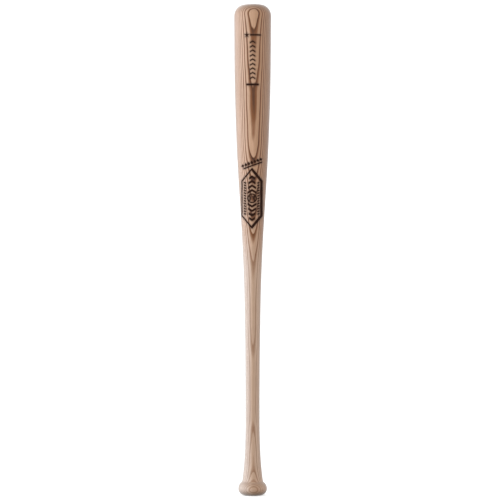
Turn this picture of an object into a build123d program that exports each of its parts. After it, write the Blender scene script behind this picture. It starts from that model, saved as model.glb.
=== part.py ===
from build123d import *
from math import cos, pi, sin
import os

# A one-piece wooden baseball bat, 33 in long, with a medium barrel and a thin handle.
#
# The origin is the centre of the knob's flat face. +Z runs up the bat to the barrel's end, and the
# branded face looks along -Y. The wood is turned from one billet, so it is one solid. The other nodes
# are the figures burned into it: each is charred wood that lies in the bottom of its own shallow recess
# and stops a little below the surface. All sizes are in mm.

INCH = 25.4

# ---- Driving dimensions ---------------------------------------------------------------------------------

LENGTH = 33 * INCH
BARREL_RADIUS = 31.5
BARREL_FOOT_RADIUS = 31.0
BARREL_FOOT_Z = 740

KNOB_RADIUS = 24.5
KNOB_FACE_RADIUS = 13.0
KNOB_WIDEST_Z = 11.3
KNOB_NECK_RADIUS = 18.2
KNOB_NECK_Z = 23.4
KNOB_CORNER_FILLET = 3.0
KNOB_NECK_DIRECTION = (-0.26, 1)

# (height, radius) at the turner's stations, between the knob's neck and the foot of the straight barrel
HANDLE_AND_TAPER = [
    (32, 16.75),
    (46, 15.15),
    (68, 13.5),
    (100, 12.2),
    (150, 11.75),
    (210, 12.05),
    (280, 12.85),
    (350, 14.2),
    (420, 16.95),
    (490, 20.9),
    (570, 25.85),
    (650, 29.1),
]

SHOULDER_WIDTH = 17.6
SHOULDER_HEIGHT = 19.5
CUP_RADIUS = INCH / 2
CUP_DEPTH = 16.0

RECESS_DEPTH = 0.5
CHAR_SUNK = 0.2

BOLD_STROKE = 3.0
MIDDLE_STROKE = 2.0
FINE_STROKE = 1.0
TIP_ROUNDING = 1.0
CHEVRON_RISE_SHARE = 0.6

CENTRE_MARK_X = -1
CENTRE_MARK_Z = 507
FRAME_HALF_WIDTH = 18
FRAME_HALF_HEIGHT = 52
FRAME_SHOULDER = 30
FRAME_LEAN = 1.2
BALL_RADIUS = 8.2
SEAM_RADIUS_SHARE = 0.8
SEAM_OFFSET_SHARE = 1.18
SEAM_HALF_SWEEP = 30
SEAM_STITCHES = 5
CHEVRONS_EACH_SIDE = 4
CHEVRON_PITCH = 7.6
CHEVRON_STROKE = 3.8
WIDEST_CHEVRON = 7.6
CHEVRON_SHRINK = 0.9
STITCHES_EACH_SIDE = 13
STITCH_PITCH = 4.4
STITCH_LENGTH = 4.0
STITCH_CORNER = 0.6
STITCH_TURN = 25
STITCH_COLUMN_X = 11.4

SLANTED_MARK_X = -1.5
SLANTED_MARK_Z = 567.5
SLANTED_MARK_TURN = 20
SLANTED_DIAMONDS = 7
SLANTED_DIAMOND_PITCH = 5.4
SLANTED_DIAMOND_HALF_WIDTH = 2.5
SLANTED_DIAMOND_HALF_HEIGHT = 3.4
SLANTED_DIAMOND_SHRINK = 0.09
UNDERLINE_DROP = 5.0
UNDERLINE_LENGTH = 34

END_MARK_TOP_Z = 784
END_MARK_BOTTOM_Z = 700
TOP_BAR_HALF_LENGTH = 14
BOTTOM_BAR_HALF_LENGTH = 10.5
END_CHEVRONS = 9
END_CHEVRON_PITCH = 7.6
END_CHEVRON_HALF_WIDTH = 4.4
STAR_RADIUS = 4.2
STAR_WAIST_SHARE = 0.42
STAR_GAP = 1.2


# ---- The turned wood ------------------------------------------------------------------------------------
# A half outline lies in the XZ plane, with the radius along X, and is revolved about Z.


def long_outline(drop=0.0):
    """The handle's and taper's curve and the straight barrel, moved in towards the axis by drop."""
    neck = (KNOB_NECK_RADIUS - drop, KNOB_NECK_Z)
    between = [(radius - drop, height) for height, radius in HANDLE_AND_TAPER]
    top = (BARREL_RADIUS - drop, LENGTH - SHOULDER_HEIGHT)
    barrel = Line((BARREL_FOOT_RADIUS - drop, BARREL_FOOT_Z), top)
    ends = [KNOB_NECK_DIRECTION, barrel % 0]
    curve = Spline(neck, *between, barrel @ 0, tangents=ends, tangent_scalars=[1, 1])
    return curve + barrel


def knob_outline():
    """The knob's flat face, its round edge and its shoulder."""
    face = Line((0, 0), (KNOB_FACE_RADIUS, 0))
    edge = TangentArc(face @ 1, (KNOB_RADIUS, KNOB_WIDEST_Z), tangent=(1, 0))
    shoulder = TangentArc(edge @ 1, (KNOB_NECK_RADIUS, KNOB_NECK_Z), tangent=(0, 1))
    return face + edge + shoulder


def barrel_end_outline():
    """The shoulder that rounds the barrel over, the lip, and the round-bottomed cup sunk in the end."""
    middle = (BARREL_RADIUS - SHOULDER_WIDTH, LENGTH - SHOULDER_HEIGHT)
    lip = middle[0] - CUP_RADIUS
    bowl_z = LENGTH - CUP_DEPTH + CUP_RADIUS
    shoulder = EllipticalCenterArc(middle, SHOULDER_WIDTH, SHOULDER_HEIGHT, arc_size=90)
    lip_arc = TangentArc(shoulder @ 1, (CUP_RADIUS, LENGTH - lip), tangent=(-1, 0))
    wall = Line(lip_arc @ 1, (CUP_RADIUS, bowl_z))
    bowl = TangentArc(wall @ 1, (0, LENGTH - CUP_DEPTH), tangent=(0, -1))
    return shoulder + lip_arc + wall + bowl


def revolved(outline):
    """The solid that a closed half outline sweeps about the bat's axis."""
    return revolve(Plane.XZ * make_face(outline.edges()), Axis.Z)


def turned_bat():
    """The bat as it leaves the lathe, with a small fillet where the handle meets the knob."""
    axis = Line((0, LENGTH - CUP_DEPTH), (0, 0))
    bat = revolved(knob_outline() + long_outline() + barrel_end_outline() + axis)
    rings = bat.edges().filter_by(GeomType.CIRCLE)
    corner = rings.filter_by_position(Axis.Z, KNOB_NECK_Z - 0.1, KNOB_NECK_Z + 0.1)
    return fillet(corner, KNOB_CORNER_FILLET)


def core(drop):
    """The wood that is deeper than drop below the surface, from the knob's neck to the barrel's shoulder."""
    foot = (KNOB_NECK_RADIUS - drop, KNOB_NECK_Z)
    top = (BARREL_RADIUS - drop, LENGTH - SHOULDER_HEIGHT)
    return revolved(long_outline(drop) + Polyline(top, (0, top[1]), (0, foot[1]), foot))


# ---- The burned figures ---------------------------------------------------------------------------------
# A figure is drawn as it is seen from the front: X across the bat, and Y at its height up the bat.


def closed(*corners):
    """The face inside a closed run of straight sides."""
    return make_face(Polyline(*corners, close=True))


def chevron(half_width, stroke):
    """A V that points up, with its point at the origin."""
    rise = CHEVRON_RISE_SHARE * half_width
    upper = [(-half_width, -rise), (0, 0), (half_width, -rise)]
    lower = [(x, y - stroke) for x, y in reversed(upper)]
    return closed(*upper, *lower)


def star(radius):
    """A five-pointed star, with a point up."""
    waist = STAR_WAIST_SHARE * radius
    points = []
    for i in range(5):
        tip_angle = pi / 2 + i * 2 * pi / 5
        waist_angle = tip_angle + pi / 5
        points.append((radius * cos(tip_angle), radius * sin(tip_angle)))
        points.append((waist * cos(waist_angle), waist * sin(waist_angle)))
    return closed(*points)


def rhombus(half_width, half_height):
    """A small filled diamond."""
    return closed((half_width, 0), (0, half_height), (-half_width, 0), (0, -half_height))


def centre_mark_frame():
    """A bold six-sided frame, pointed at the top and bottom, and heavier on its right side."""
    corners = [
        (0, FRAME_HALF_HEIGHT),
        (-FRAME_HALF_WIDTH, FRAME_SHOULDER),
        (-FRAME_HALF_WIDTH, -FRAME_SHOULDER),
        (0, -FRAME_HALF_HEIGHT),
        (FRAME_HALF_WIDTH, -FRAME_SHOULDER),
        (FRAME_HALF_WIDTH, FRAME_SHOULDER),
    ]
    outside = closed(*corners)
    inside = offset(outside, -BOLD_STROKE, kind=Kind.INTERSECTION)
    frame = fillet(outside.vertices(), TIP_ROUNDING) - Pos(-FRAME_LEAN, 0) * inside
    return Pos(CENTRE_MARK_X, CENTRE_MARK_Z) * frame


def centre_mark_ball():
    """A ball: its rim, and two curved seams crossed by short stitches."""
    seam_radius = SEAM_RADIUS_SHARE * BALL_RADIUS
    seam = Circle(seam_radius + FINE_STROKE / 2) - Circle(seam_radius - FINE_STROKE / 2)
    stitch = Pos(seam_radius, 0) * Rectangle(3 * FINE_STROKE, FINE_STROKE)
    inside = Circle(BALL_RADIUS - MIDDLE_STROKE / 2)
    figure = Circle(BALL_RADIUS) - Circle(BALL_RADIUS - MIDDLE_STROKE)
    for side, inward in ((-1, 0), (1, 180)):
        centre = Pos(side * SEAM_OFFSET_SHARE * BALL_RADIUS, 0)
        figure += centre * seam & inside
        for i in range(SEAM_STITCHES):
            turn = inward + SEAM_HALF_SWEEP * (2 * i / (SEAM_STITCHES - 1) - 1)
            figure += centre * Rot(0, 0, turn) * stitch & inside
    return Pos(CENTRE_MARK_X, CENTRE_MARK_Z) * figure


def centre_mark_chevrons(way):
    """Bold chevrons that shrink away from the ball towards the frame's top (way 1) or bottom (way -1)."""
    figure = Sketch()
    for i in range(CHEVRONS_EACH_SIDE):
        half_width = WIDEST_CHEVRON - i * CHEVRON_SHRINK
        height = BALL_RADIUS + (i + 1) * CHEVRON_PITCH
        figure += Pos(0, height) * chevron(half_width, CHEVRON_STROKE)
    turn = 0 if way > 0 else 180
    return Pos(CENTRE_MARK_X, CENTRE_MARK_Z) * Rot(0, 0, turn) * figure


def centre_mark_upper_chevrons():
    """The chevrons above the ball, which point up."""
    return centre_mark_chevrons(1)


def centre_mark_lower_chevrons():
    """The chevrons below the ball, which point down."""
    return centre_mark_chevrons(-1)


def stitch_column(side):
    """A column of slanted stitches at the left (side -1) or right (side 1) of the ball."""
    figure = Sketch()
    for i in range(STITCHES_EACH_SIDE):
        height = (i - (STITCHES_EACH_SIDE - 1) / 2) * STITCH_PITCH
        stitch = RectangleRounded(STITCH_LENGTH, MIDDLE_STROKE, STITCH_CORNER)
        figure += Pos(0, height) * Rot(0, 0, side * STITCH_TURN) * stitch
    return Pos(CENTRE_MARK_X - FRAME_LEAN / 2 + side * STITCH_COLUMN_X, CENTRE_MARK_Z) * figure


def centre_mark_left_stitches():
    """The column of stitches to the left of the ball."""
    return stitch_column(-1)


def centre_mark_right_stitches():
    """The column of stitches to the right of the ball."""
    return stitch_column(1)


def slanted(figure):
    """A figure turned and moved to the slanted mark's place."""
    return Pos(SLANTED_MARK_X, SLANTED_MARK_Z) * Rot(0, 0, SLANTED_MARK_TURN) * figure


def slanted_mark_diamonds():
    """A slanted row of small diamonds, tallest in the middle."""
    figure = Sketch()
    for i in range(SLANTED_DIAMONDS):
        place = i - (SLANTED_DIAMONDS - 1) / 2
        half_height = SLANTED_DIAMOND_HALF_HEIGHT * (1 - SLANTED_DIAMOND_SHRINK * abs(place))
        figure += Pos(place * SLANTED_DIAMOND_PITCH, 0) * rhombus(SLANTED_DIAMOND_HALF_WIDTH, half_height)
    return slanted(figure)


def slanted_mark_underline():
    """The bar below the slanted row."""
    return slanted(Pos(0, -UNDERLINE_DROP) * SlotOverall(UNDERLINE_LENGTH, MIDDLE_STROKE))


def end_mark_top_bar():
    """The bar above the barrel mark, which starts clear of the star at its left end."""
    left = 2 * STAR_RADIUS + STAR_GAP - TOP_BAR_HALF_LENGTH
    middle = (left + TOP_BAR_HALF_LENGTH) / 2
    return Pos(middle, END_MARK_TOP_Z) * SlotOverall(TOP_BAR_HALF_LENGTH - left, MIDDLE_STROKE)


def end_mark_bottom_bar():
    """The bar below the barrel mark."""
    return Pos(0, END_MARK_BOTTOM_Z) * SlotOverall(2 * BOTTOM_BAR_HALF_LENGTH, BOLD_STROKE)


def end_mark_chevrons():
    """A column of chevrons up the barrel, like a ball's stitches."""
    figure = Sketch()
    middle = (END_MARK_TOP_Z + END_MARK_BOTTOM_Z) / 2
    for i in range(END_CHEVRONS):
        height = middle + (i - (END_CHEVRONS - 1) / 2) * END_CHEVRON_PITCH + MIDDLE_STROKE
        figure += Pos(0, height) * chevron(END_CHEVRON_HALF_WIDTH, MIDDLE_STROKE)
    return figure


def end_mark_star():
    """The star at the left end of the top bar."""
    return Pos(STAR_RADIUS - TOP_BAR_HALF_LENGTH, END_MARK_TOP_Z) * star(STAR_RADIUS)


FIGURES = [
    centre_mark_frame,
    centre_mark_ball,
    centre_mark_upper_chevrons,
    centre_mark_lower_chevrons,
    centre_mark_left_stitches,
    centre_mark_right_stitches,
    slanted_mark_diamonds,
    slanted_mark_underline,
    end_mark_top_bar,
    end_mark_bottom_bar,
    end_mark_chevrons,
    end_mark_star,
]


def punch(figure):
    """The figure's prism, from near the bat's axis out through its front."""
    near_axis = 3
    reach = 40
    return extrude(Plane.XZ.offset(near_axis) * figure, reach)


def main():
    os.makedirs("parts", exist_ok=True)
    wood = turned_bat()
    under_recess = core(RECESS_DEPTH)
    char_layer = core(CHAR_SUNK) - under_recess
    for draw in FIGURES:
        prism = punch(draw())
        wood -= prism - under_recess
        export_step(prism & char_layer, f"parts/{draw.__name__}.step")
    export_step(wood, "parts/ash_body.step")


main()
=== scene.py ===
"""Looks of a turned ash baseball bat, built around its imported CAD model. Lengths are in metres."""

from math import cos, hypot, pi, radians, sin
import bmesh
import bpy
import numpy as np
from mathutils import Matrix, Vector
from mathutils.bvhtree import BVHTree
from mathutils.kdtree import KDTree


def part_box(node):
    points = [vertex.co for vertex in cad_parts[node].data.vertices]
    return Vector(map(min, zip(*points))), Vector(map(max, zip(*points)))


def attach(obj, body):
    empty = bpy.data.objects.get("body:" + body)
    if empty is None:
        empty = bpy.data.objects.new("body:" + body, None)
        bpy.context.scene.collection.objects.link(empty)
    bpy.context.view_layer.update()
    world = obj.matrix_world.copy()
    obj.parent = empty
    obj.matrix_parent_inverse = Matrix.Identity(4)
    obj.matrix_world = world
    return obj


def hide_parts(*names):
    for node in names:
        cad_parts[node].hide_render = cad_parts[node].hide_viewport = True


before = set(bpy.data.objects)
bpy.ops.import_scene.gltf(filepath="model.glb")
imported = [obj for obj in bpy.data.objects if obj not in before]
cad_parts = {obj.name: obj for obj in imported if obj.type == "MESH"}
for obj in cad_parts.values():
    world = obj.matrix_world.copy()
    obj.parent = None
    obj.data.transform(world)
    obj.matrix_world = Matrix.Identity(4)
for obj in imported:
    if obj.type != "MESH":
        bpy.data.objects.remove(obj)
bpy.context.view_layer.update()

MM = 0.001
BODY = "ash_body"
MARKS = sorted(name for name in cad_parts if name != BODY)
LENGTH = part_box(BODY)[1].z
BARREL_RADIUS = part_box(BODY)[1].x
MARK_SPANS = [(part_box(mark)[0].z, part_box(mark)[1].z) for mark in MARKS]
MARKS_LOW = min(low for low, high in MARK_SPANS)
MARKS_HIGH = max(high for low, high in MARK_SPANS)

# Depths that the CAD model gives the cup and the burned recesses
CUP_DEPTH = 16 * MM
RECESS_DEPTH = 0.5 * MM
CHAR_SUNK = 0.2 * MM

# Outline: how far apart its points are at the curved ends and between them, and what counts as no distance
CURVED_END = 26 * MM
CLOSE_POINTS = 0.7 * MM
WIDE_POINTS = 9 * MM
TINY = 0.01 * MM
# A vertex is on the back, which no mark reaches, where its y is over this share of its radius
BACK_SHARE = 0.3

# Body mesh: columns round the bat, and the height of a row at the curved ends, by the marks and elsewhere
COLUMNS = 128
END_ROW = 0.7 * MM
MARK_ROW = 1.2 * MM
PLAIN_ROW = 3.0 * MM
MARK_MARGIN = 8 * MM

# Recesses: how far their cutter reaches out of the wood, and how the scorch fades away from the char
WELD_DISTANCE = 0.002 * MM
CUTTER_REACH = 3 * MM
SKIN_TOLERANCE = 0.05 * MM
SHARP_ANGLE = radians(40)
SCORCH_REACH = 2.6 * MM
SCORCH_FADE = 1.5

# Growth rings, in millimetres: the rings' own radius, their width, and the angle that they face
RING_RADIUS = 140
RING_WIDTH = 1.9
RING_FACING = radians(2.8)
# How far in front of the bat's axis a ring ends where there is no drift: just inside the barrel's face
RING_END = BARREL_RADIUS / MM - 0.17
# (share of the bat's length, how far the rings drift towards the front in millimetres)
RING_DRIFT = [
    (0.0, 2.0), (0.03, 1.95), (0.048, 2.25), (0.134, 4.3), (0.146, 3.9), (0.162, 3.5), (0.21, 3.35),
    (0.27, 3.3), (0.313, 3.75), (0.4, 3.0), (0.47, 2.2), (0.53, 1.75), (0.62, 1.4), (0.7, 1.35),
    (0.728, 1.0), (0.745, 0.6), (0.76, 0.3), (0.775, 0.05), (0.795, -0.35), (0.81, -0.65), (0.832, -0.92),
    (0.845, -0.88), (0.858, -0.85), (0.872, -0.65), (0.886, -0.5), (0.907, -0.4), (0.945, 0.0),
    (0.977, 0.8), (0.99, 2.3), (1.0, 3.0),
]
DRIFT_LOW = -2.0
DRIFT_SPAN = 7.0
# (share of a ring, darkness): the earlywood fades in slowly towards the bark and ends sharply
RING_BAND = [(0.0, 1.0), (0.06, 0.0), (0.54, 0.0), (0.64, 0.3), (0.74, 0.62), (0.86, 0.82), (0.95, 1.0)]

# Patches of uneven wood: (across the grain, along it) in millimetres
WANDER = (22, 160)
RIPPLE = (5, 45)
FLAME_EDGE = (6, 60)
PATCH = (14, 130)
STREAK = (1.8, 80)
FIBRE = (0.45, 14)
PORE = (0.28, 3.5)
CHAR_GRAIN = (0.7, 9)
CHAR_BLOTCH = (3, 6)
# How much the first two move the rings, in millimetres, and the third the flaming, in shares of the length
WANDER_SPREAD = 1.0
RIPPLE_SPREAD = 0.5
FLAME_EDGE_SPREAD = 0.1

# Shares of the bat's length between which the flame tempering sets in
FLAMED_FROM = 0.45
FLAMED_FULL = 0.59

# (0 at the bat's left side to 1 at its right, strength) of three painted tones: a painted highlight on the
# left side, painted shade across the handle's front and right, and painted shade on the right side
LEFT_HIGHLIGHT_PAINT = [(0.1, 0.75), (0.25, 0.6), (0.45, 0.0)]
# Painted shade: the handle darker tan from its front to its right, where the light falls off
HANDLE_SHADE_PAINT = [(0.42, 0.0), (0.52, 0.5), (0.62, 0.45), (0.8, 0.0)]
# Painted shade: the right side browner, away from the light
RIGHT_SHADE_PAINT = [(0.5, 0.0), (0.62, 0.35), (0.75, 0.5), (0.9, 0.35)]
# (share of the bat's length, how much of the right side's painted shade there is): at the knob and on the
# flamed wood
SHADE_PAINT_ALONG = [(0.0, 0.8), (0.07, 0.0), (FLAMED_FROM, 0.0), (FLAMED_FULL, 1.0)]

# Camera: how far it stands from the bat and to its side, and the height that its frame shows at the bat
CAMERA_DISTANCE = 4.0
CAMERA_SIDE = -0.0045
FRAME_HEIGHT = 0.8546

# Lights: how far from the bat they stand, and how tall they are
LIGHT_DISTANCE = 2.2
LIGHT_HEIGHT = 2.0
# Degrees about the bat, from 0 in front of it to 90 at its right, then width in metres and watts
LIGHTS = {"key": (-56, 2.4, 43), "edge": (-108, 0.5, 28), "fill": (75, 2.0, 14)}

# Floor and surround: the floor is solid up to the first of its fading distances and clear from the second
FLOOR_RADIUS = 3.0
FLOOR_FADE = (0.3 * FLOOR_RADIUS, 0.95 * FLOOR_RADIUS)
FLOOR_GREY = (0.86, 0.86, 0.86, 1)
FLOOR_GLOW = 0.5
WHITE = (1, 1, 1, 1)
# (0 straight down to 1 straight up, strength)
SURROUND_GLOW = [(0.0, 0.02), (0.33, 0.25), (0.45, 1.0), (0.5, 1.25), (0.6, 1.1), (1.0, 0.5)]
# Share of its strength that the surround loses from behind the bat to in front of it
FRONT_LOSS = 0.34


# ---- The bat's outline, read from the CAD mesh --------------------------------------------------------


def plain_side_points():
    """(radius, height) of the CAD vertices on the back of the bat."""
    points = []
    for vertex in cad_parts[BODY].data.vertices:
        x, y, z = vertex.co
        if y > BACK_SHARE * hypot(x, y):
            points.append((hypot(x, y), z))
    return points


def thinned(points):
    """The points without those too close to the last one kept: close at the curved ends, wide between."""
    kept = [points[0]]
    for point in points[1:-1]:
        from_end = min(point[1], LENGTH - point[1])
        gap = np.interp(from_end, [CURVED_END, 3 * CURVED_END], [CLOSE_POINTS, WIDE_POINTS])
        from_kept = hypot(point[0] - kept[-1][0], point[1] - kept[-1][1])
        to_last = hypot(point[0] - points[-1][0], point[1] - points[-1][1])
        if min(from_kept, to_last) >= gap:
            kept.append(point)
    return kept + [points[-1]]


def outline_path():
    """The outline's points in order, from the knob's centre over the barrel's rim to the cup's centre."""
    points = plain_side_points()
    rim = max(points, key=lambda p: (round(p[1], 5), -p[0]))
    below_cup = LENGTH - 1.1 * CUP_DEPTH
    cup = [p for p in points if p[1] > below_cup and p[0] < rim[0] - TINY]
    in_cup = set(cup)
    outside = [p for p in points if p not in in_cup and p[0] > TINY]
    # Points at one height run outwards on the knob's face and inwards at the barrel's end
    outside.sort(key=lambda p: (round(p[1], 6), p[0] if p[1] < LENGTH / 2 else -p[0]))
    cup.sort(key=lambda p: (-round(p[1], 6), -p[0]))
    path = thinned([(0.0, 0.0)] + outside)
    path += thinned([rim] + cup + [(0.0, LENGTH - CUP_DEPTH)])[1:]
    return path


def smooth_curve(at, knots, values):
    """Values at the places in at, on a smooth curve through the knots' values that never overshoots."""
    span = np.diff(knots)
    grade = np.diff(values) / span
    before, after = grade[:-1], grade[1:]
    turns = before * after <= 0
    safe_before = np.where(turns, 1, before)
    safe_after = np.where(turns, 1, after)
    weight_a = 2 * span[1:] + span[:-1]
    weight_b = span[1:] + 2 * span[:-1]
    inner = np.where(turns, 0, (weight_a + weight_b) / (weight_a / safe_before + weight_b / safe_after))
    slopes = np.concatenate([grade[:1], inner, grade[-1:]])
    i = np.clip(np.searchsorted(knots, at) - 1, 0, len(knots) - 2)
    t = (at - knots[i]) / span[i]
    rise = values[i] * (2 * t**3 - 3 * t**2 + 1) + values[i + 1] * (3 * t**2 - 2 * t**3)
    return rise + span[i] * (slopes[i] * (t**3 - 2 * t**2 + t) + slopes[i + 1] * (t**3 - t**2))


def row_height(z):
    """How far apart the body's rows are at a height."""
    if z < CURVED_END or z > LENGTH - CURVED_END:
        return END_ROW
    if any(low - MARK_MARGIN < z < high + MARK_MARGIN for low, high in MARK_SPANS):
        return MARK_ROW
    return PLAIN_ROW


def row_places(along, height):
    """Distances along the outline for the rows."""
    places = [0.0]
    while places[-1] < along[-1] - END_ROW:
        z = np.interp(places[-1], along, height)
        places.append(places[-1] + row_height(z))
    places[-1] = along[-1]
    return np.array(places)


def outline():
    """Radius, height and distance along the outline of each row, from the knob's centre to the cup's."""
    path = outline_path()
    radius = np.array([p[0] for p in path])
    height = np.array([p[1] for p in path])
    along = np.concatenate([[0], np.cumsum(np.hypot(np.diff(radius), np.diff(height)))])
    rows = row_places(along, height)
    return smooth_curve(rows, along, radius), smooth_curve(rows, along, height), rows


# ---- The bat's body -----------------------------------------------------------------------------------


def turned_mesh(radius, height):
    """The outline swept about the bat's axis, in quads, with a fan at each end."""
    turn = np.arange(COLUMNS) * 2 * pi / COLUMNS
    vertices = [(0, 0, height[0])]
    for r, z in zip(radius[1:-1], height[1:-1]):
        vertices += [(r * sin(a), r * cos(a), z) for a in turn]
    vertices.append((0, 0, height[-1]))
    faces = []
    rings = len(radius) - 2
    last = len(vertices) - 1
    for j in range(COLUMNS):
        k = (j + 1) % COLUMNS
        faces.append((0, 1 + j, 1 + k))
        for i in range(rings - 1):
            low = 1 + i * COLUMNS
            high = low + COLUMNS
            faces.append((low + j, high + j, high + k, low + k))
        top = 1 + (rings - 1) * COLUMNS
        faces.append((last, top + k, top + j))
    mesh = bpy.data.meshes.new("bat")
    mesh.from_pydata(vertices, [], faces)
    return mesh


def recess_cutter(radius, height):
    """The marks' charred solids, drawn out through the bat's surface, as one object."""
    shell = bmesh.new()
    for mark in MARKS:
        shell.from_mesh(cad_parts[mark].data)
    bmesh.ops.remove_doubles(shell, verts=shell.verts, dist=WELD_DISTANCE)
    outside = slice(0, int(np.argmax(height)))
    middle = (CHAR_SUNK + RECESS_DEPTH) / 2
    for vertex in shell.verts:
        surface = np.interp(vertex.co.z, height[outside], radius[outside])
        if hypot(vertex.co.x, vertex.co.y) > surface - middle:
            vertex.co.y -= CUTTER_REACH
    mesh = bpy.data.meshes.new("recess_cutter")
    shell.to_mesh(mesh)
    shell.free()
    cutter = bpy.data.objects.new("recess_cutter", mesh)
    bpy.context.scene.collection.objects.link(cutter)
    return cutter


def cut(body, cutter):
    """Takes the cutter out of the body, for good."""
    boolean = body.modifiers.new("recesses", "BOOLEAN")
    boolean.operation = "DIFFERENCE"
    boolean.solver = "MANIFOLD"
    boolean.object = cutter
    graph = bpy.context.evaluated_depsgraph_get()
    result = bpy.data.meshes.new_from_object(body.evaluated_get(graph))
    body.modifiers.clear()
    body.data = result
    bpy.data.objects.remove(cutter)


def joined_marks():
    """Vertices and faces of all the charred solids."""
    vertices, faces = [], []
    for mark in MARKS:
        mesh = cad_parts[mark].data
        first = len(vertices)
        vertices += [v.co.copy() for v in mesh.vertices]
        faces += [[first + v for v in face.vertices] for face in mesh.polygons]
    return vertices, faces


def surface_facts(mesh, radius, height, rows):
    """Each vertex's distance along the outline, whether it is on the turned skin, and its normal there.

    Also gives the mesh its scorch attribute, from 1 at the char to 0 well away from it.
    """
    outline_points = KDTree(len(rows))
    for i in range(len(rows)):
        outline_points.insert((radius[i], height[i], 0), i)
    outline_points.balance()
    lean = np.gradient(radius, rows)
    climb = np.gradient(height, rows)
    chars = BVHTree.FromPolygons(*joined_marks())

    count = len(mesh.vertices)
    along = np.zeros(count)
    on_skin = np.zeros(count, bool)
    normals = np.zeros((count, 3))
    scorch = np.zeros(count)
    for n, vertex in enumerate(mesh.vertices):
        x, y, z = vertex.co
        r = hypot(x, y)
        _, i, _ = outline_points.find((r, z, 0))
        along[n] = rows[i]
        if MARKS_LOW - MARK_MARGIN < z < MARKS_HIGH + MARK_MARGIN:
            along[n] += z - height[i]
            surface = radius[i] + (z - height[i]) * lean[i]
            on_skin[n] = abs(r - surface) < SKIN_TOLERANCE
            normals[n] = Vector((x / r * climb[i], y / r * climb[i], -lean[i])).normalized()
            distance = chars.find_nearest(vertex.co)[3]
            scorch[n] = max(0, 1 - distance / SCORCH_REACH) ** SCORCH_FADE
    mesh.attributes.new("scorch", "FLOAT", "POINT").data.foreach_set("value", scorch)
    return along, on_skin, normals


def turn_share(x, y):
    """How far round the bat a point is, from 0 to 1."""
    return (np.arctan2(x, y) / (2 * pi)) % 1


def unwrap(mesh, height_share):
    """The bake's UV map: round the bat, and along the outline."""
    layer = mesh.uv_layers.new(name="OFBake")
    for face in mesh.polygons:
        middle = turn_share(face.center.x, face.center.y)
        for loop, v in zip(face.loop_indices, face.vertices):
            x, y, _ = mesh.vertices[v].co
            on_axis = hypot(x, y) < TINY
            turn = middle if on_axis else turn_share(x, y)
            turn += round(middle - turn)
            layer.data[loop].uv = (turn, height_share[v])


def shade(mesh, on_skin, normals):
    """Sharp recess edges, and the turned surface's true normals beside them."""
    mesh.shade_smooth()
    mesh.set_sharp_from_angle(angle=SHARP_ANGLE)
    shading = np.zeros(len(mesh.loops) * 3)
    mesh.corner_normals.foreach_get("vector", shading)
    shading = shading.reshape(-1, 3)
    for face in mesh.polygons:
        if all(on_skin[v] for v in face.vertices):
            for loop, v in zip(face.loop_indices, face.vertices):
                shading[loop] = normals[v]
    mesh.normals_split_custom_set(shading.tolist())


def make_body():
    """The turned bat with its recesses, standing for the CAD node of the wood."""
    radius, height, rows = outline()
    body = bpy.data.objects.new("ash_bat", turned_mesh(radius, height))
    bpy.context.scene.collection.objects.link(body)
    cut(body, recess_cutter(radius, height))
    along, on_skin, normals = surface_facts(body.data, radius, height, rows)
    unwrap(body.data, along / rows[-1])
    shade(body.data, on_skin, normals)
    body.data.materials.clear()
    body.data.materials.append(ash_wood())
    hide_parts(BODY)
    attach(body, "root")


# ---- Shader helpers -----------------------------------------------------------------------------------


def new_material(name):
    """An empty node material: its tree and its Principled shader."""
    material = bpy.data.materials.new(name)
    material.use_nodes = True
    tree = material.node_tree
    return material, tree, tree.nodes["Principled BSDF"]


def put(tree, kind, inputs, **settings):
    """Adds a shader node with its settings, and sets or links its inputs."""
    node = tree.nodes.new("ShaderNode" + kind)
    for name, value in settings.items():
        setattr(node, name, value)
    for key, value in inputs.items():
        if isinstance(value, bpy.types.NodeSocket):
            tree.links.new(value, node.inputs[key])
        else:
            node.inputs[key].default_value = value
    return node


def maths(tree, operation, *values, clamp=False):
    """A Math node's result."""
    inputs = dict(enumerate(values))
    return put(tree, "Math", inputs, operation=operation, use_clamp=clamp).outputs[0]


def product(tree, first, second, clamp=False):
    """Two values multiplied."""
    return maths(tree, "MULTIPLY", first, second, clamp=clamp)


def scaled(tree, value, times, plus):
    """A value times a second one, plus a third."""
    return maths(tree, "MULTIPLY_ADD", value, times, plus)


def vector_maths(tree, operation, *values):
    """A Vector Math node."""
    return put(tree, "VectorMath", dict(enumerate(values)), operation=operation)


def part_of(tree, vector, axis):
    """A vector's x, y or z, for an axis of 0, 1 or 2."""
    return put(tree, "SeparateXYZ", {0: vector}).outputs[axis]


def ramp(tree, value, stops, interpolation="LINEAR"):
    """A grey ramp through (place, level) stops."""
    node = put(tree, "ValToRGB", {0: value})
    band = node.color_ramp
    band.interpolation = interpolation
    while len(band.elements) < len(stops):
        band.elements.new(1)
    for element, (place, level) in zip(band.elements, stops):
        element.position = place
        element.color = (level, level, level, 1)
    return node.outputs[0]


def noise(tree, place, size, detail=2.0, roughness=0.5):
    """Noise from 0 to 1 whose patches have about this (across, along) size in millimetres."""
    across, along = size
    stretched = vector_maths(tree, "MULTIPLY", place, (1 / across, 1 / across, 1 / along)).outputs[0]
    inputs = {"Vector": stretched, "Scale": 1.0, "Detail": detail, "Roughness": roughness}
    return put(tree, "TexNoise", inputs).outputs[0]


def wavering(tree, place, size, spread):
    """Noise about zero, half of the spread to each side."""
    return scaled(tree, noise(tree, place, size), spread, -spread / 2)


def mixed(tree, factor, first, second):
    """Two colours mixed by a factor."""
    return put(tree, "Mix", {0: factor, 6: first, 7: second}, data_type="RGBA").outputs[2]


def colour(red, green, blue):
    """A linear colour from its 0 to 255 display values."""
    return tuple(((c / 255 + 0.055) / 1.055) ** 2.4 for c in (red, green, blue)) + (1,)


# ---- Places on the bat, in shader nodes ---------------------------------------------------------------


def millimetres(tree):
    """The place on the object, in millimetres."""
    place = put(tree, "TexCoord", {}).outputs["Object"]
    return put(tree, "VectorMath", {0: place, "Scale": 1 / MM}, operation="SCALE").outputs[0]


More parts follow.
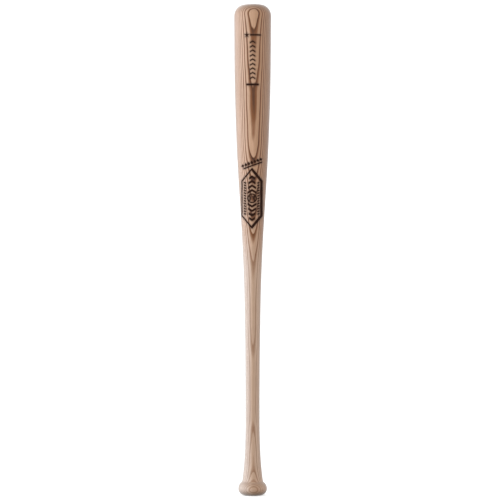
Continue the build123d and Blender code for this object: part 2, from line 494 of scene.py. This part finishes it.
def share_of_length(tree, place):
    """How far up the bat a point is: 0 at the knob's face and 1 at the barrel's end."""
    return maths(tree, "DIVIDE", part_of(tree, place, 2), LENGTH / MM)


def rightward(tree, place):
    """0 at the bat's left side, 0.5 on its front and back, and 1 at its right side."""
    flat = vector_maths(tree, "MULTIPLY", place, (1, 1, 0)).outputs[0]
    outward = vector_maths(tree, "NORMALIZE", flat).outputs[0]
    return scaled(tree, part_of(tree, outward, 0), 0.5, 0.5)


def facing_up_or_down(tree):
    """0 where the surface is upright, and 1 where it shows pure end grain."""
    normal = put(tree, "TexCoord", {}).outputs["Normal"]
    return maths(tree, "ABSOLUTE", part_of(tree, normal, 2))


def flamed(tree, place):
    """1 where the bat was flame tempered, 0 on the pale handle, with a ragged edge."""
    ragged = wavering(tree, place, FLAME_EDGE, FLAME_EDGE_SPREAD)
    share = maths(tree, "ADD", share_of_length(tree, place), ragged)
    return ramp(tree, share, [(FLAMED_FROM, 0.0), (FLAMED_FULL, 1.0)], "EASE")


def drift_curve(tree, share):
    """The rings' drift, in millimetres, at a share of the bat's length."""
    node = put(tree, "FloatCurve", {"Factor": 1.0, "Value": share})
    curve = node.mapping.curves[0]
    while len(curve.points) < len(RING_DRIFT):
        curve.points.new(0.5, 0.5)
    for point, (place, drift) in zip(curve.points, RING_DRIFT):
        point.location = (place, (drift - DRIFT_LOW) / DRIFT_SPAN)
    node.mapping.update()
    return scaled(tree, node.outputs[0], DRIFT_SPAN, DRIFT_LOW)


def ring_place(tree, place):
    """Which growth ring a point is in, counted from the heart of the tree outwards."""
    heart = (-RING_RADIUS * sin(RING_FACING), RING_RADIUS * cos(RING_FACING), 0)
    offset = vector_maths(tree, "SUBTRACT", place, heart).outputs[0]
    flat = vector_maths(tree, "MULTIPLY", offset, (1, 1, 0)).outputs[0]
    distance = vector_maths(tree, "LENGTH", flat).outputs["Value"]
    depth = maths(tree, "SUBTRACT", distance, RING_RADIUS + RING_END)
    drifted = maths(tree, "ADD", depth, drift_curve(tree, share_of_length(tree, place)))
    wander = wavering(tree, place, WANDER, WANDER_SPREAD)
    ripple = wavering(tree, place, RIPPLE, RIPPLE_SPREAD)
    total = maths(tree, "ADD", drifted, maths(tree, "ADD", wander, ripple))
    return maths(tree, "DIVIDE", total, RING_WIDTH)


# ---- Materials ----------------------------------------------------------------------------------------


# Colours of the wood between its lines, each pair for the palest and the darkest streaks
BARE_WOOD = (colour(228, 197, 172), colour(216, 182, 156))
TOASTED_WOOD = (colour(230, 189, 157), colour(197, 151, 118))
# Painted shade: the tan of the handle's front and right side
SHADE_PAINT_TAN = colour(186, 150, 122)
# Painted highlight: the pale grey of the left side, where the light falls
HIGHLIGHT_PAINT = colour(214, 204, 198)
FIBRE_BROWN = colour(150, 116, 92)
# Painted shade: the brown of the right side
SHADE_PAINT_BROWN = colour(168, 114, 70)

# Colours of its lines, pores, end grain and scorch; the end grain's darkness is partly painted shade under
# the knob and at the barrel's top rim
LINE_EDGE = colour(136, 84, 45)
LINE_HEART = colour(48, 16, 6)
PORE_BROWN = colour(70, 43, 28)
END_GRAIN_AND_SHADE = colour(140, 108, 84)
SCORCH = colour(62, 36, 24)

# Colours of the charred wood
CHAR_BLACK = colour(27, 12, 7)
CHAR_BROWN = colour(64, 34, 20)
CHAR_FLECK = colour(78, 44, 27)

# (value, share): how much of each colour shows where its noise or strength has a value
FIBRE_SHOWS = [(0.35, 0.0), (0.7, 0.3)]
LINE_EDGE_SHOWS = [(0.0, 0.0), (0.65, 1.0)]
LINE_HEART_SHOWS = [(0.7, 0.0), (1.0, 1.0)]
PORE_SHOWS = [(0.6, 0.0), (0.68, 1.0)]
# End grain darker where the surface faces up or down, partly real and partly painted shade
END_GRAIN_AND_SHADE_SHOWS = [(0.15, 0.0), (0.8, 0.5)]
CHAR_BROWN_SHOWS = [(0.4, 0.0), (0.75, 1.0)]
CHAR_FLECK_SHOWS = [(0.45, 0.0), (0.8, 0.6)]

# Strength of the lines: on the unflamed handle, the variation between rings, and (noise, strength) stops
HANDLE_LINES = 0.4
RING_VARIATION = 0.1
PATCH_LINES = [(0.3, 0.85), (0.65, 1.0)]
# Share of the handle's painted highlight on the left side that the flamed wood still has
FLAMED_HIGHLIGHT_PAINT = 0.4
# Pores: how strong they are between the lines, how much stronger in them, and how dark in all
PORES_BETWEEN = 0.05
PORES_IN_LINES = 0.6
PORE_DARKNESS = 0.6
# Scorch beside a mark, and how much more of it a streak takes
SCORCH_LEAST = 0.45
SCORCH_STREAKS = 0.6

# Roughness of the wood, and what flaming, earlywood and fibres add to it
WOOD_ROUGHNESS = 0.27
FLAMED_ROUGHNESS = 0.08
LINE_ROUGHNESS = 0.12
FIBRE_ROUGHNESS = 0.1
CHAR_ROUGHNESS = 0.68
CHAR_GRAIN_ROUGHNESS = 0.2

# Relief: its whole depth, and how high fibres, earlywood and pores stand as shares of it
WOOD_RELIEF = 0.08 * MM
FIBRE_HEIGHT = 0.35
LINE_HEIGHT = -0.5
PORE_HEIGHT = -1.0
CHAR_RELIEF = 0.1 * MM


def wood_between_lines(tree, place, heat, streak, fibre):
    """Pale handle with painted shade across its front and right, toasted barrel, a painted highlight on
    the left side, painted shade on the right side, and fine fibres.
    """
    bare = mixed(tree, streak, *BARE_WOOD)
    toasted = mixed(tree, streak, *TOASTED_WOOD)
    even = mixed(tree, heat, bare, toasted)
    across = rightward(tree, place)
    unflamed = maths(tree, "SUBTRACT", 1.0, heat)
    # Painted shade: the unflamed handle mixed towards tan across its front and right
    front_shaded = mixed(tree, product(tree, unflamed, ramp(tree, across, HANDLE_SHADE_PAINT)), even, SHADE_PAINT_TAN)
    # Painted highlight: the left side mixed towards pale grey, most on the handle
    strength = scaled(tree, unflamed, 1 - FLAMED_HIGHLIGHT_PAINT, FLAMED_HIGHLIGHT_PAINT)
    highlighted = mixed(tree, product(tree, strength, ramp(tree, across, LEFT_HIGHLIGHT_PAINT)), front_shaded, HIGHLIGHT_PAINT)
    fibred = mixed(tree, ramp(tree, fibre, FIBRE_SHOWS), highlighted, FIBRE_BROWN)
    # Painted shade: the right side browner at the knob and on the flamed wood
    shade_along = ramp(tree, share_of_length(tree, place), SHADE_PAINT_ALONG)
    right_shade = product(tree, shade_along, ramp(tree, across, RIGHT_SHADE_PAINT))
    return mixed(tree, right_shade, fibred, SHADE_PAINT_BROWN)


def line_strength(tree, place, ring, band, heat):
    """How dark the earlywood is: a little different in each ring and patch, and more so where flamed."""
    ring_chance = put(tree, "TexWhiteNoise", {"W": maths(tree, "FLOOR", ring)}, noise_dimensions="1D")
    ring_strength = scaled(tree, ring_chance.outputs["Value"], RING_VARIATION, 1 - RING_VARIATION / 2)
    patch_strength = ramp(tree, noise(tree, place, PATCH, detail=1), PATCH_LINES)
    heat_strength = scaled(tree, heat, 1 - HANDLE_LINES, HANDLE_LINES)
    strength = product(tree, product(tree, ring_strength, patch_strength), heat_strength)
    return product(tree, strength, band, clamp=True)


def open_pores(tree, place, band):
    """Short dark pores, mostly in the earlywood."""
    pore = ramp(tree, noise(tree, place, PORE, detail=1), PORE_SHOWS)
    return product(tree, pore, scaled(tree, band, PORES_IN_LINES, PORES_BETWEEN))


def singed_share(tree, streak):
    """How far the heat of the burned marks has browned the wood beside them."""
    scorch = put(tree, "Attribute", {}, attribute_name="scorch").outputs["Fac"]
    return product(tree, scorch, scaled(tree, streak, SCORCH_STREAKS, SCORCH_LEAST), clamp=True)


def ash_wood():
    """Bare flame-tempered ash: dark earlywood lines in pale wood, fibres, open pores and scorch, with a
    painted highlight and painted shade on its sides, and darker end grain that is partly painted shade.
    """
    material, tree, shader = new_material("ash_wood")
    place = millimetres(tree)
    ring = ring_place(tree, place)
    band = ramp(tree, maths(tree, "FRACT", ring), RING_BAND)
    heat = flamed(tree, place)
    streak = noise(tree, place, STREAK, detail=3)
    fibre = noise(tree, place, FIBRE)
    pores = open_pores(tree, place, band)

    wood = wood_between_lines(tree, place, heat, streak, fibre)
    line = line_strength(tree, place, ring, band, heat)
    edged = mixed(tree, ramp(tree, line, LINE_EDGE_SHOWS), wood, LINE_EDGE)
    lined = mixed(tree, ramp(tree, line, LINE_HEART_SHOWS), edged, LINE_HEART)
    pored = mixed(tree, product(tree, pores, PORE_DARKNESS), lined, PORE_BROWN)
    # Darker where the surface faces up or down: partly the wood's own end grain, partly painted shade
    # under the knob and at the top rim
    end_grain_shaded = mixed(tree, ramp(tree, facing_up_or_down(tree), END_GRAIN_AND_SHADE_SHOWS), pored, END_GRAIN_AND_SHADE)
    final = mixed(tree, singed_share(tree, streak), end_grain_shaded, SCORCH)
    tree.links.new(final, shader.inputs["Base Color"])

    shader.inputs["Specular IOR Level"].default_value = 0.25
    shader.inputs["Sheen Weight"].default_value = 1.0
    shader.inputs["Sheen Roughness"].default_value = 0.48
    roughness = scaled(tree, heat, FLAMED_ROUGHNESS, WOOD_ROUGHNESS)
    roughness = scaled(tree, band, LINE_ROUGHNESS, roughness)
    roughness = scaled(tree, fibre, FIBRE_ROUGHNESS, roughness)
    tree.links.new(roughness, shader.inputs["Roughness"])
    relief = scaled(tree, fibre, FIBRE_HEIGHT, product(tree, pores, PORE_HEIGHT))
    relief = scaled(tree, band, LINE_HEIGHT, relief)
    bump = put(tree, "Bump", {"Strength": 0.5, "Distance": WOOD_RELIEF, "Height": relief})
    tree.links.new(bump.outputs[0], shader.inputs["Normal"])
    return material


def charred_wood():
    """Wood burned almost black, with the grain still showing and browner flecks."""
    material, tree, shader = new_material("charred_wood")
    place = millimetres(tree)
    grain = noise(tree, place, CHAR_GRAIN, detail=3, roughness=0.6)
    blotch = noise(tree, place, CHAR_BLOTCH)
    char = mixed(tree, ramp(tree, grain, CHAR_BROWN_SHOWS), CHAR_BLACK, CHAR_BROWN)
    flecked = mixed(tree, ramp(tree, blotch, CHAR_FLECK_SHOWS), char, CHAR_FLECK)
    tree.links.new(flecked, shader.inputs["Base Color"])
    shader.inputs["Specular IOR Level"].default_value = 0.1
    roughness = scaled(tree, grain, CHAR_GRAIN_ROUGHNESS, CHAR_ROUGHNESS)
    tree.links.new(roughness, shader.inputs["Roughness"])
    bump = put(tree, "Bump", {"Strength": 0.6, "Distance": CHAR_RELIEF, "Height": grain})
    tree.links.new(bump.outputs[0], shader.inputs["Normal"])
    return material


def burn_marks():
    """Gives every mark the charred wood."""
    char = charred_wood()
    for mark in MARKS:
        for material_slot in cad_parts[mark].material_slots:
            material_slot.material = char


# ---- The studio ---------------------------------------------------------------------------------------


def pale_floor():
    """Pale and faintly glowing, and clear towards the floor's edge."""
    material, tree, shader = new_material("pale_floor")
    shader.inputs["Base Color"].default_value = FLOOR_GREY
    shader.inputs["Roughness"].default_value = 0.9
    shader.inputs["Emission Color"].default_value = WHITE
    shader.inputs["Emission Strength"].default_value = FLOOR_GLOW
    place = put(tree, "TexCoord", {}).outputs["Object"]
    distance = vector_maths(tree, "LENGTH", place).outputs["Value"]
    span = {0: distance, 1: FLOOR_FADE[0], 2: FLOOR_FADE[1]}
    fade = put(tree, "MapRange", span, interpolation_type="SMOOTHSTEP").outputs[0]
    clear = put(tree, "BsdfTransparent", {}).outputs[0]
    both = put(tree, "MixShader", {0: fade, 1: shader.outputs[0], 2: clear}).outputs[0]
    tree.links.new(both, tree.nodes["Material Output"].inputs["Surface"])
    return material


def make_floor():
    """A plain floor that fades into the white surround. It throws no light back up at the bat."""
    bpy.ops.mesh.primitive_circle_add(vertices=96, radius=FLOOR_RADIUS, fill_type="NGON")
    floor = bpy.context.object
    floor.name = "floor"
    floor.visible_diffuse = False
    floor.visible_glossy = False
    floor.data.materials.append(pale_floor())


def make_surround():
    """White all round for the camera. As a light it is dim from below, and weaker in front than behind."""
    world = bpy.data.worlds.new("surround")
    bpy.context.scene.world = world
    world.use_nodes = True
    tree = world.node_tree
    way = put(tree, "TexCoord", {}).outputs["Generated"]
    upward = scaled(tree, part_of(tree, way, 2), 0.5, 0.5)
    backward = scaled(tree, part_of(tree, way, 1), FRONT_LOSS / 2, 1 - FRONT_LOSS / 2)
    glow = product(tree, ramp(tree, upward, SURROUND_GLOW), backward)
    seen = put(tree, "LightPath", {}).outputs["Is Camera Ray"]
    background = tree.nodes["Background"]
    background.inputs["Color"].default_value = WHITE
    tree.links.new(maths(tree, "MAXIMUM", seen, glow), background.inputs["Strength"])


def make_light(name, turn, width, watts):
    """A soft upright light beside the bat, facing it."""
    light = bpy.data.lights.new(name, "AREA")
    light.shape = "RECTANGLE"
    light.size = width
    light.size_y = LIGHT_HEIGHT
    light.energy = watts
    lamp = bpy.data.objects.new(name, light)
    angle = radians(turn)
    lamp.location = (LIGHT_DISTANCE * sin(angle), -LIGHT_DISTANCE * cos(angle), LENGTH / 2)
    lamp.rotation_euler = (radians(90), 0, angle)
    bpy.context.scene.collection.objects.link(lamp)


def make_camera():
    """Level with the middle of the bat, looking along +Y."""
    camera = bpy.data.cameras.new("camera")
    camera.sensor_width = 36
    camera.lens = camera.sensor_width * CAMERA_DISTANCE / FRAME_HEIGHT
    eye = bpy.data.objects.new("camera", camera)
    eye.location = (CAMERA_SIDE, -CAMERA_DISTANCE, LENGTH / 2)
    eye.rotation_euler = (radians(90), 0, 0)
    bpy.context.scene.collection.objects.link(eye)
    bpy.context.scene.camera = eye


def make_studio():
    """Floor, surround, lights and camera."""
    make_floor()
    make_surround()
    for name, (turn, width, watts) in LIGHTS.items():
        make_light(name, turn, width, watts)
    make_camera()
    bpy.context.scene.view_settings.view_transform = "Standard"


make_body()
burn_marks()
make_studio()
